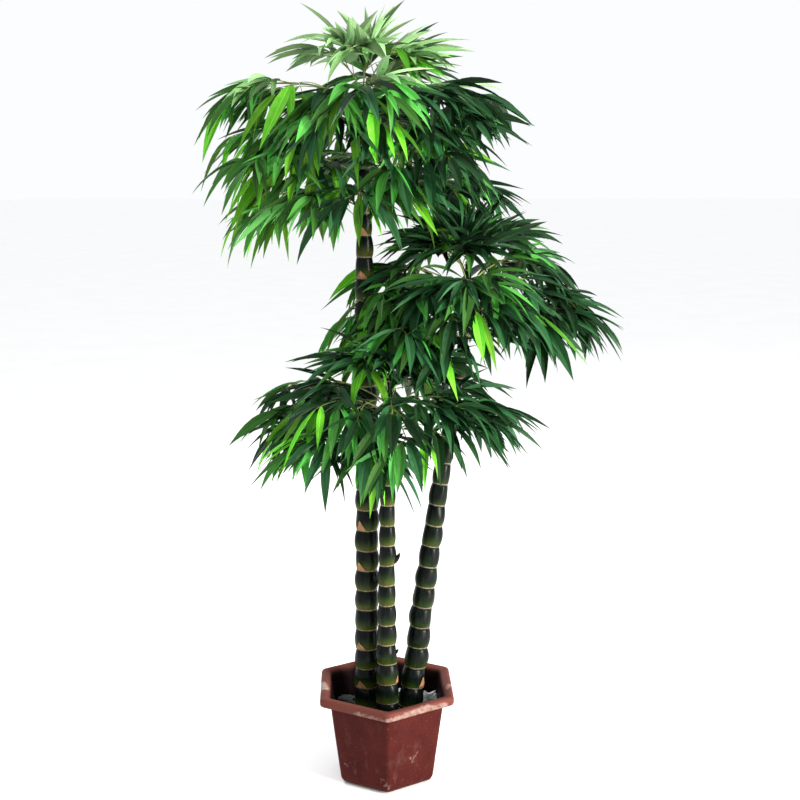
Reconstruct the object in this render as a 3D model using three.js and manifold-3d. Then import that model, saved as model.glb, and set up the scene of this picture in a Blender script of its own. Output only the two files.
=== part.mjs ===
// An artificial bamboo tree in a six-sided plastic pot. Three ringed culms of swollen-jointed bamboo stand in
// the pot's filling, and each carries a crown of wired branches with long cloth leaves.
// Millimetres, +Z up. The origin is the middle of the pot's flat underside, and -Y is the front.

import * as THREE from "three";
import { mergeVertices } from "three/addons/utils/BufferGeometryUtils.js";
import Module from "manifold-3d";

const wasm = await Module();
wasm.setup();

// The gap that two touching pieces keep.
const SEAT_GAP = 0.3;

// The pot: a hexagon with a corner to the front, measured from its middle to its flats.
const POT = {
  height: 225,
  footFlat: 106,
  shoulderFlat: 131,
  rimFlat: 155,
  rimDepth: 23,
  wall: 4,
  floor: 5,
  cornerRadius: 14,
  footEdge: 14,
};
const FILL_TOP = 155;

// Each culm's middle line as [height, x, y], its girth as [height, fullest radius], its joints, and its
// crown: how far below the top each tier starts, how many branches it has, and how long they are as a share
// of the lengths in TIERS.
const CULMS = [
  {
    name: "tall",
    line: [[155, -47, 22], [700, -43, 22], [1200, -46, 23], [1600, -46, 23]],
    girth: [[155, 29], [700, 27.5], [850, 26], [1230, 20], [1500, 11], [1600, 8]],
    top: 1600,
    firstJoint: 209,
    jointSpacing: 48.5,
    crown: { drops: [4, 22, 46, 110, 185, 258], branches: [1, 4, 4, 4, 3, 3], size: 1.06, firstBearing: 55 },
    seed: 123,
  },
  {
    name: "short",
    line: [[155, 2, -31], [440, 1, -30], [820, 5, -27], [960, 5, -26]],
    girth: [[155, 28], [250, 27], [330, 23.5], [440, 21], [660, 18.5], [820, 16.5], [960, 8]],
    top: 960,
    firstJoint: 193.5,
    jointSpacing: 47.5,
    crown: { drops: [4, 20, 60, 85, 108, 130], branches: [1, 4, 3, 3, 2, 3], size: 1, firstBearing: 15 },
    seed: 397,
  },
  {
    name: "leaning",
    line: [[155, 57, 18], [450, 92, 23], [700, 127, 31], [983, 174, 44], [1100, 182, 49], [1215, 190, 53]],
    girth: [[155, 30], [300, 28], [450, 26], [554, 24], [700, 21], [983, 13.5], [1215, 7]],
    top: 1215,
    firstJoint: 210.5,
    jointSpacing: 49.2,
    crown: { drops: [4, 20, 62, 100, 145, 178], branches: [1, 4, 3, 4, 2, 2], size: 0.98, firstBearing: 255 },
    seed: 101,
  },
];
const CULM_SIDES = 9;
// Each internode is a barrel. It stands on a joint, is fullest this share of the way up, and draws in to a waist
// under the lip of the next joint. Waists and joints are shares of the girth, given as [height, share].
const BELLY_AT = 0.4;
const JOINT_LIP = 2.5;
const WAISTS = [[155, 0.7], [330, 0.85], [1600, 0.85]];
const JOINTS = [[155, 0.96], [330, 0.88], [1600, 0.88]];

// What the branches of each tier do: their slope at the culm and at the tip in degrees, and the length of the
// middle rib.
const TIERS = [
  { rise: 84, fall: 74, length: 46 },
  { rise: 72, fall: 14, length: 150 },
  { rise: 38, fall: -14, length: 242 },
  { rise: 34, fall: -18, length: 262 },
  { rise: 32, fall: -17, length: 265 },
  { rise: 30, fall: -14, length: 250 },
];
const TIER_TURN = 67;
const RIB = { root: 4.0, tip: 2.2, steps: 5 };
const ARM = { root: 2.0, tip: 1.5, steps: 2 };
// The side arms of a rib: where they leave it and how long they are, as shares of its length.
const ARMS = [
  { at: 0.33, side: 1, share: 0.5 },
  { at: 0.45, side: -1, share: 0.44 },
];
const ARM_SPREAD = 46;
// Where the leaves sit on a limb, as shares of its length, from the tip back.
const RIB_LEAVES = [0.99, 0.9, 0.82, 0.72, 0.62];
const ARM_LEAVES = [0.98, 0.84, 0.72, 0.5];
const LEAF_TURN = 34;
const LEAF = { length: 150, width: 35, thickness: 2, widest: 0.42, sag: 16 };
// Branches of one tier start this much below one another.
const STAGGER = 11;
// The room that middle lines keep from each other and from the skins of other culms. A rib without it is turned
// on round its own culm by this many degrees at a time, and an arm without it is left out.
const RIB_ROOM = 10;
const ARM_ROOM = 8;
const SKIN_ROOM = 7;
const BEARING_STEP = 14;
// A leaf keeps this far from the other branches, and may share this volume with its own branch.
const GUARD = 0.8;
const LEAF_ROOT_SHARE = 4;

// Colours in sRGB.
const POT_BROWN = 0x7c3b33;
const FILL_GREY = 0x5b5c58;
const CULM_GREEN = 0x35431f;
const LEAF_GREEN = 0x2f6b2c;

const radians = THREE.MathUtils.degToRad;
const UP = new THREE.Vector3(0, 0, 1);

// Random numbers that are the same in every run, between the two values it is asked for.
function seeded(seed) {
  let state = seed * 7919;
  return (low, high) => {
    state = (state * 16807) % 2147483647;
    return low + ((high - low) * state) / 2147483647;
  };
}

function direction(bearing, slope) {
  const level = Math.cos(radians(slope));
  return new THREE.Vector3(
    level * Math.cos(radians(bearing)),
    level * Math.sin(radians(bearing)),
    Math.sin(radians(slope)),
  );
}

// The span of a table that a height falls in, kept inside the table.
function spanOf(table, height) {
  let i = 0;
  while (i < table.length - 2 && height > table[i + 1][0]) i++;
  return i;
}

function straightBetween(table, height) {
  const i = spanOf(table, height);
  const share = THREE.MathUtils.clamp((height - table[i][0]) / (table[i + 1][0] - table[i][0]), 0, 1);
  return THREE.MathUtils.lerp(table[i][1], table[i + 1][1], share);
}

// A smooth curve through one column of a table, with each point's slope taken from its neighbours.
function smoothBetween(table, height, column) {
  const i = spanOf(table, height);
  const slopeAt = (k) => {
    const before = table[Math.max(k - 1, 0)];
    const after = table[Math.min(k + 1, table.length - 1)];
    return (after[column] - before[column]) / (after[0] - before[0]);
  };
  const span = table[i + 1][0] - table[i][0];
  const t = (height - table[i][0]) / span;
  return (
    (2 * t ** 3 - 3 * t ** 2 + 1) * table[i][column] +
    (t ** 3 - 2 * t ** 2 + t) * span * slopeAt(i) +
    (3 * t ** 2 - 2 * t ** 3) * table[i + 1][column] +
    (t ** 3 - t ** 2) * span * slopeAt(i + 1)
  );
}

function culmMiddle(culm, height) {
  return new THREE.Vector3(
    smoothBetween(culm.line, height, 1),
    smoothBetween(culm.line, height, 2),
    height,
  );
}

function geometryOf(points, faces) {
  const geometry = new THREE.BufferGeometry();
  geometry.setAttribute("position", new THREE.Float32BufferAttribute(points.flatMap((p) => p.toArray()), 3));
  geometry.setIndex(faces);
  return geometry;
}

// A closed body through rings that run counterclockwise as seen from its far end.
function loft(rings) {
  const sides = rings[0].length;
  const top = (rings.length - 1) * sides;
  const faces = [];
  for (let start = 0; start < top; start += sides)
    for (let i = 0; i < sides; i++) {
      const a = start + i;
      const b = start + ((i + 1) % sides);
      faces.push(a, b, b + sides, a, b + sides, a + sides);
    }
  for (let i = 1; i + 1 < sides; i++) faces.push(0, i + 1, i, top, top + i, top + i + 1);
  return geometryOf(rings.flat(), faces);
}

function solidOf(geometry) {
  const merged = mergeVertices(geometry, 1e-3);
  return new wasm.Manifold(
    new wasm.Mesh({
      numProp: 3,
      vertProperties: merged.getAttribute("position").array,
      triVerts: new Uint32Array(merged.index.array),
    }),
  );
}

function geometryFrom(solid) {
  const mesh = solid.getMesh();
  const geometry = new THREE.BufferGeometry();
  geometry.setAttribute("position", new THREE.BufferAttribute(mesh.vertProperties, 3));
  geometry.setIndex(new THREE.BufferAttribute(mesh.triVerts, 1));
  return geometry;
}

// A hexagon with rounded corners, one of them to the front, whose flats are `flat` from the middle.
function hexagon(flat, rounding, height, stepsPerCorner = 2) {
  const reach = (flat - rounding) / Math.cos(Math.PI / 6);
  const ring = [];
  for (let corner = 0; corner < 6; corner++) {
    const facing = -Math.PI / 2 + (corner * Math.PI) / 3;
    for (let i = 0; i <= stepsPerCorner; i++) {
      const angle = facing - Math.PI / 6 + (i * Math.PI) / 3 / stepsPerCorner;
      ring.push(
        new THREE.Vector3(
          reach * Math.cos(facing) + rounding * Math.cos(angle),
          reach * Math.sin(facing) + rounding * Math.sin(angle),
          height,
        ),
      );
    }
  }
  return ring;
}

// The outside of the pot's wall at a height, measured to its flats.
function wallFlat(height) {
  return THREE.MathUtils.mapLinear(height, 0, POT.height - POT.rimDepth, POT.footFlat, POT.shoulderFlat);
}

// The pot is lofted up the outside, over the rolled rim and down the inside to its floor.
function potGeometry() {
  const { height, rimFlat, rimDepth, wall, floor, footEdge, cornerRadius } = POT;
  const underRim = height - rimDepth;
  const inside = (z) => wallFlat(z) - wall;
  const profile = [
    [wallFlat(0) - footEdge, 0],
    [wallFlat(0) - footEdge * 0.25, footEdge * 0.3],
    [wallFlat(footEdge), footEdge],
    [wallFlat(underRim), underRim],
    [rimFlat - 6, underRim + 1],
    [rimFlat - 1, underRim + 5],
    [rimFlat, height - 9],
    [rimFlat - 3, height - 2],
    [rimFlat - 9, height],
    [rimFlat - 16, height - 1],
    [inside(underRim) + 3, height - 7],
    [inside(underRim), underRim - 3],
    [inside(floor), floor],
  ];
  return loft(profile.map(([flat, z]) => hexagon(flat, cornerRadius * (flat / rimFlat), z)));
}

// The filling reaches from the pot's floor to a level well under the rim.
function fillGeometry() {
  const side = (z) => hexagon(wallFlat(z) - POT.wall - SEAT_GAP, POT.cornerRadius * 0.6, z);
  return loft([side(POT.floor + SEAT_GAP), side(FILL_TOP)]);
}

// Rings of points round a middle line, each square to it.
function limb(points, radiusAt, sides) {
  return points.map((point, i) => {
    const along = points[Math.min(i + 1, points.length - 1)]
      .clone()
      .sub(points[Math.max(i - 1, 0)])
      .normalize();
    const aside = new THREE.Vector3().crossVectors(along, UP);
    if (aside.lengthSq() < 1e-4) aside.set(1, 0, 0);
    aside.normalize();
    const over = new THREE.Vector3().crossVectors(along, aside);
    return Array.from({ length: sides }, (_, k) => {
      const angle = Math.PI / 2 + (2 * Math.PI * k) / sides;
      return point
        .clone()
        .addScaledVector(aside, radiusAt(i) * Math.cos(angle))
        .addScaledVector(over, radiusAt(i) * Math.sin(angle));
    });
  });
}

// A culm's rings: the waist below each joint, the joint and the belly above it.
function culmGeometry(culm, extra = 0) {
  const sections = [[FILL_TOP + SEAT_GAP, 0.97]];
  for (let joint = culm.firstJoint; joint < culm.top; joint += culm.jointSpacing) {
    sections.push([joint - JOINT_LIP, straightBetween(WAISTS, joint)], [joint, straightBetween(JOINTS, joint)]);
    const belly = joint + BELLY_AT * culm.jointSpacing;
    if (belly < culm.top) sections.push([belly, 1]);
  }
  sections.push([culm.top, straightBetween(WAISTS, culm.top)]);
  const points = sections.map(([height]) => culmMiddle(culm, height));
  const radii = sections.map(([height, swell]) => swell * straightBetween(culm.girth, height) + extra);
  const rings = limb(points, (i) => radii[i], CULM_SIDES);
  for (const point of rings[0]) point.z = FILL_TOP + SEAT_GAP;
  return loft(rings);
}

// A limb that leaves along a bearing, climbs at one slope and sags evenly to another.
function sweep(start, bearing, rise, fall, length, steps) {
  const points = [start.clone()];
  for (let i = 0; i < steps; i++) {
    const slope = THREE.MathUtils.lerp(rise, fall, (i + 0.5) / steps);
    points.push(points[i].clone().addScaledVector(direction(bearing, slope), length / steps));
  }
  return points;
}

// The point and the slope part of the way along such a limb.
function partWay(points, rise, fall, share) {
  const place = share * (points.length - 1);
  const i = Math.min(Math.floor(place), points.length - 2);
  return {
    point: points[i].clone().lerp(points[i + 1], place - i),
    slope: THREE.MathUtils.lerp(rise, fall, share),
  };
}

// A leaf of six faces: a long lozenge with a crest and a plain underside, bent down beyond its widest place.
function leafGeometry(root, bearing, slope, roll, size, spare = 0) {
  const along = direction(bearing, slope);
  const across = new THREE.Vector3(-Math.sin(radians(bearing)), Math.cos(radians(bearing)), 0);
  across.applyAxisAngle(along, radians(roll));
  const over = new THREE.Vector3().crossVectors(along, across);
  const length = LEAF.length * size;
  const middle = root.clone().addScaledVector(along, LEAF.widest * length).addScaledVector(over, -spare);
  const bent = direction(bearing, slope - LEAF.sag);
  const half = LEAF.width * size * 0.5 + spare;
  const points = [
    root,
    middle.clone().addScaledVector(across, half),
    middle.clone().addScaledVector(across, -half),
    middle.clone().addScaledVector(over, LEAF.thickness + 2 * spare),
    middle.clone().addScaledVector(bent, (1 - LEAF.widest) * length),
  ];
  const [base, left, right, crest, tip] = [0, 1, 2, 3, 4];
  return geometryOf(points, [
    base, crest, left, base, right, crest, base, left, right,
    tip, left, crest, tip, crest, right, tip, right, left,
  ]);
}

// All that stands already: each piece's solid, with the culm or the branch that it belongs to.
const placed = [];

function keep(owner, solid) {
  placed.push({ owner, solid, box: solid.boundingBox() });
}

// The placed pieces whose boxes meet a solid's box.
function neighbours(solid) {
  const box = solid.boundingBox();
  const axes = [0, 1, 2];
  return placed.filter((piece) => axes.every((a) => box.min[a] < piece.box.max[a] && piece.box.min[a] < box.max[a]));
}

// Whether a leaf may be added to its branch. Neither it nor a fuller copy of it touches anything of another
// owner, and it shares only the room of its sunk root with its own branch.
function isClear(owner, solid, fuller) {
  return neighbours(fuller).every((piece) =>
    piece.owner === owner
      ? solid.intersect(piece.solid).volume() < LEAF_ROOT_SHARE
      : fuller.intersect(piece.solid).isEmpty() && solid.intersect(piece.solid).isEmpty(),
  );
}

function limbSolid(points, { root, tip }) {
  return solidOf(loft(limb(points, (i) => THREE.MathUtils.lerp(root, tip, i / (points.length - 1)), 3)));
}

// A rib without what is inside its culm. Slivers that the lip of a joint cuts off are left out.
function outside(solid, skin) {
  return solid.subtract(skin).decompose().reduce((a, b) => (a.volume() > b.volume() ? a : b));
}

// The shortest distance between two straight stretches, p to q and r to s.
function stretchDistance(p, q, r, s) {
  const u = q.clone().sub(p);
  const v = s.clone().sub(r);
  const w = p.clone().sub(r);
  const [a, b, c, d, e] = [u.dot(u), u.dot(v), v.dot(v), u.dot(w), v.dot(w)];
  const skew = a * c - b * b;
  let onFirst = skew > 1e-9 ? THREE.MathUtils.clamp((b * e - c * d) / skew, 0, 1) : 0;
  const onSecond = THREE.MathUtils.clamp((b * onFirst + e) / c, 0, 1);
  onFirst = THREE.MathUtils.clamp((b * onSecond - d) / a, 0, 1);
  return w.addScaledVector(u, onFirst).addScaledVector(v, -onSecond).length();
}

function routeDistance(first, second) {
  let least = Infinity;
  for (let i = 0; i + 1 < first.length; i++)
    for (let k = 0; k + 1 < second.length; k++)
      least = Math.min(least, stretchDistance(first[i], first[i + 1], second[k], second[k + 1]));
  return least;
}

// Whether a route keeps its room from a culm. The culm is followed over the heights of each stretch.
function missesCulm(route, culm) {
  return route.slice(1).every((point, i) => {
    const height = Math.min((point.z + route[i].z) / 2, culm.top);
    const half = Math.abs(point.z - route[i].z) + culm.jointSpacing;
    const axis = [culmMiddle(culm, height - half), culmMiddle(culm, Math.min(height + half, culm.top))];
    return routeDistance([route[i], point], axis) > straightBetween(culm.girth, height) + SKIN_ROOM;
  });
}

// The middle rib of one branch, from its culm's axis outwards. It is turned round the culm until its route, which
// starts where it comes out of the culm, has its room from the other culms and the ribs before it.
function growRib(culm, level, k, random, earlier) {
  const { drops, branches, size, firstBearing } = culm.crown;
  const tier = TIERS[level];
  const start = culmMiddle(culm, culm.top - drops[level] - k * STAGGER);
  const length = tier.length * size * random(0.92, 1.08);
  const rise = tier.rise + random(-5, 5);
  const fall = tier.fall + random(-5, 5);
  let bearing = firstBearing + level * TIER_TURN + (k * 360) / branches[level] + random(-14, 14);
  const toSkin = straightBetween(culm.girth, start.z) / Math.cos(radians(rise));
  const toTop = (culm.top - start.z) / Math.sin(radians(rise));
  for (let turn = 0; turn < 360; turn += BEARING_STEP) {
    const points = sweep(start, bearing, rise, fall, length, RIB.steps);
    const exit = start.clone().addScaledVector(direction(bearing, rise), Math.min(toSkin, toTop));
    const route = [exit, ...points.slice(1)];
    const clear =
      CULMS.every((other) => other === culm || missesCulm(route, other)) &&
      earlier.every((rib) => routeDistance(route, rib.route) > RIB_ROOM);
    if (clear) return { culm, level, number: k + 1, bearing, rise, fall, length, points, route };
    bearing += BEARING_STEP;
  }
  return null;
}

// The side arms of one branch, each at the slope that the rib has where it leaves it.
function armsOf(rib, random) {
  return ARMS.map(({ at, side, share }) => {
    const { point, slope } = partWay(rib.points, rib.rise, rib.fall, at);
    const bearing = rib.bearing + side * (ARM_SPREAD + random(-9, 9));
    const length = rib.length * share * random(0.9, 1.1);
    const rise = slope + random(-8, 6);
    const fall = rise - 34;
    return { rib, bearing, rise, fall, route: sweep(point, bearing, rise, fall, length, ARM.steps) };
  });
}

// Whether an arm has its room from the other culms and from the limbs of other branches.
function armFits(arm, ribs, arms) {
  return (
    CULMS.every((other) => other === arm.rib.culm || missesCulm(arm.route, other)) &&
    ribs.every((rib) => rib === arm.rib || routeDistance(arm.route, rib.route) > ARM_ROOM) &&
    arms.every((other) => other.rib === arm.rib || routeDistance(arm.route, other.route) > ARM_ROOM)
  );
}

// The leaves of one limb: one at its tip, and others behind it that point to alternate sides.
function leavesOf(points, bearing, rise, fall, shares, random) {
  return shares.map((share, i) => {
    const { point, slope } = partWay(points, rise, fall, share);
    const turn = i === 0 ? 0 : (i % 2 ? 1 : -1) * (LEAF_TURN + 4 * i);
    const sag = i === 0 ? 4 : 14;
    return [point, bearing + turn + random(-6, 6), slope - sag, random(-24, 24), random(0.9, 1.08)];
  });
}

// The leaves that one limb of a branch has room for.
function growLeaves(rib, points, { bearing, rise, fall }, shares, random) {
  const grown = [];
  for (const leaf of leavesOf(points, bearing, rise, fall, shares, random)) {
    const solid = solidOf(leafGeometry(...leaf));
    if (!isClear(rib, solid, solidOf(leafGeometry(...leaf, GUARD)))) continue;
    keep(rib, solid);
    grown.push(solid);
  }
  return grown;
}

function named(name, geometry, color, roughness) {
  const mesh = new THREE.Mesh(geometry, new THREE.MeshStandardMaterial({ color, roughness, metalness: 0 }));
  mesh.name = name;
  return mesh;
}

const plant = new THREE.Group();
plant.add(named("pot", potGeometry(), POT_BROWN, 0.45));
plant.add(named("pot_filling", fillGeometry(), FILL_GREY, 0.95));

for (const culm of CULMS) {
  plant.add(named(`culm_${culm.name}`, culmGeometry(culm), CULM_GREEN, 0.35));
  culm.skin = solidOf(culmGeometry(culm, SEAT_GAP));
  keep(culm, culm.skin);
}

// All ribs stand before the first arm, and all arms before the first leaf.
const ribs = [];
for (const culm of CULMS) {
  const random = seeded(culm.seed);
  culm.crown.branches.forEach((count, level) => {
    for (let k = 0; k < count; k++) {
      const rib = growRib(culm, level, k, random, ribs);
      if (rib) ribs.push(rib);
    }
  });
}
const arms = [];
ribs.forEach((rib, i) => {
  rib.random = seeded(rib.culm.seed * 100 + i);
  arms.push(...armsOf(rib, rib.random).filter((arm) => armFits(arm, ribs, arms)));
});
for (const rib of ribs) {
  rib.solid = outside(limbSolid(rib.points, RIB), rib.culm.skin);
  keep(rib, rib.solid);
}
for (const arm of arms) {
  arm.solid = limbSolid(arm.route, ARM);
  keep(arm.rib, arm.solid);
}
for (const rib of ribs) {
  const pieces = [rib.solid];
  for (const arm of arms.filter((one) => one.rib === rib))
    pieces.push(arm.solid, ...growLeaves(rib, arm.route, arm, ARM_LEAVES, rib.random));
  pieces.push(...growLeaves(rib, rib.points, rib, RIB_LEAVES, rib.random));
  const name = `foliage_${rib.culm.name}_tier${rib.level + 1}_${rib.number}`;
  plant.add(named(name, geometryFrom(wasm.Manifold.union(pieces)), LEAF_GREEN, 0.5));
}

export default plant;
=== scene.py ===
# The looks of an artificial bamboo tree in a six-sided plastic pot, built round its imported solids.
# Metres, +Z up. The origin is the middle of the pot's flat underside, and -Y is the front.

import math

import bpy
import numpy as np
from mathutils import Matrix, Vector, noise


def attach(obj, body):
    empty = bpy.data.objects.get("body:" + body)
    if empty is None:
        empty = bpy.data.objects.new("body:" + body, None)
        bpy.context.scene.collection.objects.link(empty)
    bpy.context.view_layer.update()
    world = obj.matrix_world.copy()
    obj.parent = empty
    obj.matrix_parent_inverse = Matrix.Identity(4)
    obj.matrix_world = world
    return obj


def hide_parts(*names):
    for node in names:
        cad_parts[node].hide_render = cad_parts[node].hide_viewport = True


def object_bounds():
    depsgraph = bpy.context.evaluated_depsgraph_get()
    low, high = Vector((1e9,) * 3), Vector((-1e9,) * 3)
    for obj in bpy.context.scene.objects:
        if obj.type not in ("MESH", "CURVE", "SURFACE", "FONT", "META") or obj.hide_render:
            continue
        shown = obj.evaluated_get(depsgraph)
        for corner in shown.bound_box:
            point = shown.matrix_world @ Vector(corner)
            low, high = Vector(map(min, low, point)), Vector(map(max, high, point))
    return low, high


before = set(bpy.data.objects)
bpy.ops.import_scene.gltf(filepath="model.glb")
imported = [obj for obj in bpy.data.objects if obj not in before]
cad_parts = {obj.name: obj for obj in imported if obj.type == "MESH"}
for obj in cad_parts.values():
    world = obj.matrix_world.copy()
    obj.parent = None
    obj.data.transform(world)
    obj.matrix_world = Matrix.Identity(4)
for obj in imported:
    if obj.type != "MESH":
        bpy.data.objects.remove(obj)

CAD_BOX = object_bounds()
MM = 0.001

# The camera stands where the photograph's did: a little above the middle, looking slightly down.
CAMERA_PLACE = -0.0693, -2.801, 1.45
CAMERA_DOWN = 11
CAMERA_TURN = 2.086
CAMERA_LENS = 56.69

# The driving dimensions of the solids, in millimetres. The last four entries of each culm are only used
# here: how full of twigs its tiers are, how far they reach, how far its sprays lean to the lighter dyes,
# which are painted light on that crown, and how much of the olive paint it lacks.
SEAT_GAP = 0.3
POT = {
    "height": 225, "foot_flat": 106, "shoulder_flat": 131, "rim_flat": 155, "rim_depth": 23,
    "wall": 4, "floor": 5, "corner_radius": 14, "foot_edge": 14,
}
FILL_TOP = 155
CULMS = [
    {
        "name": "tall", "top": 1600, "first_joint": 209, "joint_spacing": 48.5,
        "line": [[155, -47, 22], [700, -43, 22], [1200, -46, 23], [1600, -46, 23]],
        "girth": [[155, 29], [700, 27.5], [850, 26], [1230, 20], [1500, 11], [1600, 8]],
        "drops": [4, 22, 46, 110, 185, 258], "branches": [1, 4, 4, 4, 3, 3],
        "size": 1.06, "first_bearing": 55, "seed": 123,
        "fullness": [0.5, 0.45, 0.85, 0.95, 0.95, 0.95],
        "twig_reach": 1.15, "lightness": 0.7, "bareness": 0,
    },
    {
        "name": "short", "top": 960, "first_joint": 193.5, "joint_spacing": 47.5,
        "line": [[155, 2, -31], [440, 1, -30], [820, 5, -27], [960, 5, -26]],
        "girth": [[155, 28], [250, 27], [330, 23.5], [440, 21], [660, 18.5], [820, 16.5], [960, 8]],
        "drops": [4, 20, 60, 85, 108, 130], "branches": [1, 4, 3, 3, 2, 3],
        "size": 1, "first_bearing": 15, "seed": 397,
        "fullness": [0.78, 0.72, 0.66, 0.6, 0.52, 0.5],
        "twig_reach": 0.95, "lightness": -0.4, "bareness": 0.06,
    },
    {
        "name": "leaning", "top": 1215, "first_joint": 210.5, "joint_spacing": 49.2,
        "line": [
            [155, 57, 18], [450, 92, 23], [700, 127, 31],
            [983, 174, 44], [1100, 182, 49], [1215, 190, 53],
        ],
        "girth": [[155, 30], [300, 28], [450, 26], [554, 24], [700, 21], [983, 13.5], [1215, 7]],
        "drops": [4, 20, 62, 100, 145, 178], "branches": [1, 4, 3, 4, 2, 2],
        "size": 0.98, "first_bearing": 255, "seed": 101,
        "fullness": [0.76, 0.72, 0.72, 0.84, 0.9, 0.9],
        "twig_reach": 1, "lightness": -0.3, "bareness": 0.24,
    },
]
CULM_NAMED = {culm["name"]: culm for culm in CULMS}
# The girth of an internode at its waist and at its lower joint, by height. It is full at its belly, and
# powers shape it below and above.
WAISTS = [[155, 0.7], [330, 0.85], [1600, 0.85]]
JOINTS = [[155, 0.96], [330, 0.88], [1600, 0.88]]
BELLY_AT = 0.4
BELOW_BELLY = 0.8
ABOVE_BELLY = 0.9
# The ribs of each tier, from the tip of a culm down: the slope at the root and at the tip, and the length.
TIERS = [
    {"rise": 84, "fall": 74, "length": 46},
    {"rise": 72, "fall": 14, "length": 150},
    {"rise": 38, "fall": -14, "length": 242},
    {"rise": 34, "fall": -18, "length": 262},
    {"rise": 32, "fall": -17, "length": 265},
    {"rise": 30, "fall": -14, "length": 250},
]
TIER_TURN = 67
ARMS = [{"at": 0.33, "side": 1, "share": 0.5}, {"at": 0.45, "side": -1, "share": 0.44}]
ARM_SPREAD = 46
ARM_SAG = 34
STAGGER = 11
RIB_ROOM = 10
ARM_ROOM = 8
SKIN_ROOM = 7
BEARING_STEP = 14
# What is drawn at random for each limb and leaf, as shares and degrees, and between which bounds.
RIB_DRAWS = {"length": (0.92, 1.08), "rise": (-5, 5), "fall": (-5, 5), "bearing": (-14, 14)}
ARM_DRAWS = {"bearing": (-9, 9), "length": (0.9, 1.1), "rise": (-8, 6)}
TWIG_DRAWS = {"place": (-0.04, 0.04), "bearing": (-20, 20), "rise": (-13, 17), "length": (0.75, 1.25)}
LEAF_DRAWS = {
    "slope": (-15, 21), "slump": (0.3, 1.3), "bearing": (-10, 10), "roll": (-40, 40), "size": (0.7, 1.2),
    "girth": (0.74, 1.12), "droop": (14, 54), "curl": (-16, 16), "twist": (-34, 34), "tint": (0, 1),
}

# What is finer here than in the solids, whose every step is cut in four. Ribs and arms carry twigs, at
# shares of their length, and all end in a fan of leaves. Each has its steps, its sides and the radii of its
# wire at the root and at the tip.
FINE_STEPS = 4
RIB = {"steps": 5, "sides": 7, "root": 2.2, "tip": 0.99}
ARM = {"steps": 2, "sides": 5, "root": 1.1, "tip": 0.675}
TWIG = {"steps": 4, "sides": 4, "root": 1.3, "tip": 0.7}
RIB_TWIGS = [0.3, 0.42, 0.53, 0.63, 0.72, 0.8, 0.88, 0.95]
ARM_TWIGS = [0.4, 0.6, 0.78, 0.92]
LAST_TWIG = 0.98
TWIG_LENGTH = 68
TWIG_SPREAD = 44
TWIG_SAG = 18
# How long twigs are at the root and at the tip of their limb, and on a crown's top two tiers.
TWIG_SHORTENING = 1.25, 0.65
TOP_TWIGS = 0.8
LIMB_FAN = [1, 0.93, 0.86, 0.78]
TWIG_FAN = [1, 0.88, 0.76, 0.64, 0.52, 0.4]
FAN_TURN = 20, 52
LEAF = {"length": 116, "width": 22.5, "thickness": 0.5, "fold": 24}
LEAF_STATIONS = [0, 0.05, 0.14, 0.27, 0.42, 0.58, 0.73, 0.87, 1]
# Where a leaf is widest, and the powers that shape its stalk end, its point and its droop.
LEAF_BELLY = 0.38
STALK_CURVE = 0.8
POINT_CURVE = 1.3
DROOP_CURVE = 0.8
# How large the end leaf of a fan is, and the leaves of the top tier.
TIP_LEAF = 1.12
TOP_LEAF = 0.82
# How far the tip of a leaf may pass the box of the solids, and how far a leaf keeps off a culm.
BOX_ROOM = 6
LEAF_ROOM = 2
# Each spray of leaves has one dye. Most are deep. Others are given as their share in the middle of a crown,
# and how much more of them its left edge has, which is painted light falling from the left. Pale ones stand
# at the very top, and their share goes by the height, which is painted light on the crown's top. A fresh
# spray has few leaves, which hang.
DYES = [("fresh", 0.12, 0.12), ("mid", 0.27, 0.24)]
CROWN_HALF = 200
# The share of pale sprays by height, which paints light on the top of the tall crown.
PAINTED_TOP_LIGHT = [[1560, 0], [1630, 0.4], [1680, 0.85]]
FRESH_LEAVES = 2
DYE_SLUMP = {"deep": 0, "mid": 6, "fresh": 48, "pale": 0}
DYE_SIZE = {"deep": 1, "mid": 1, "fresh": 1.14, "pale": 1}
# The steepest rise of a leaf on each tier, the fall past which it gives way less, by how much, and the
# steepest fall of all.
STEEPEST = [64, 50, 38, 32, 32, 32]
HANGING = 30
HANGING_GIVE = 0.35
PLUMB = -88


def linear(code):
    """An sRGB hex colour as linear red, green, blue and alpha."""
    parts = [int(code[i : i + 2], 16) / 255 for i in (1, 3, 5)]
    return tuple(p / 12.92 if p <= 0.04045 else ((p + 0.055) / 1.055) ** 2.4 for p in parts) + (1.0,)


def seeded(seed):
    """Random numbers, the same in every run, each between the two values it is asked for."""
    state = seed * 7919

    def draw(low, high):
        nonlocal state
        state = state * 16807 % 2147483647
        return low + (high - low) * state / 2147483647

    return draw


def drawn(bounds, random):
    return {key: random(*pair) for key, pair in bounds.items()}


def direction(bearing, slope):
    """A step of length 1 for a bearing and a slope in degrees, or for arrays of them."""
    b, s = np.radians(np.broadcast_arrays(bearing, slope))
    return np.stack([np.cos(s) * np.cos(b), np.cos(s) * np.sin(b), np.sin(s)], -1)


def lerp(a, b, share):
    return a + (b - a) * share


def between(table, height):
    return np.interp(height, *zip(*table))


def culm_middle(culm, height):
    """The middle of a culm at a height, on a smooth curve through the rows of its table."""
    line = np.array(culm["line"], float)
    i = np.searchsorted(line[1:-1, 0], height)

    def slope_at(k):
        run = line[min(k + 1, len(line) - 1)] - line[max(k - 1, 0)]
        return run / run[0]

    span = line[i + 1, 0] - line[i, 0]
    t = (height - line[i, 0]) / span
    row = (
        (2 * t**3 - 3 * t**2 + 1) * line[i]
        + (t**3 - 2 * t**2 + t) * span * slope_at(i)
        + (3 * t**2 - 2 * t**3) * line[i + 1]
        + (t**3 - t**2) * span * slope_at(i + 1)
    )
    return np.array([*row[1:], height])


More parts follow.
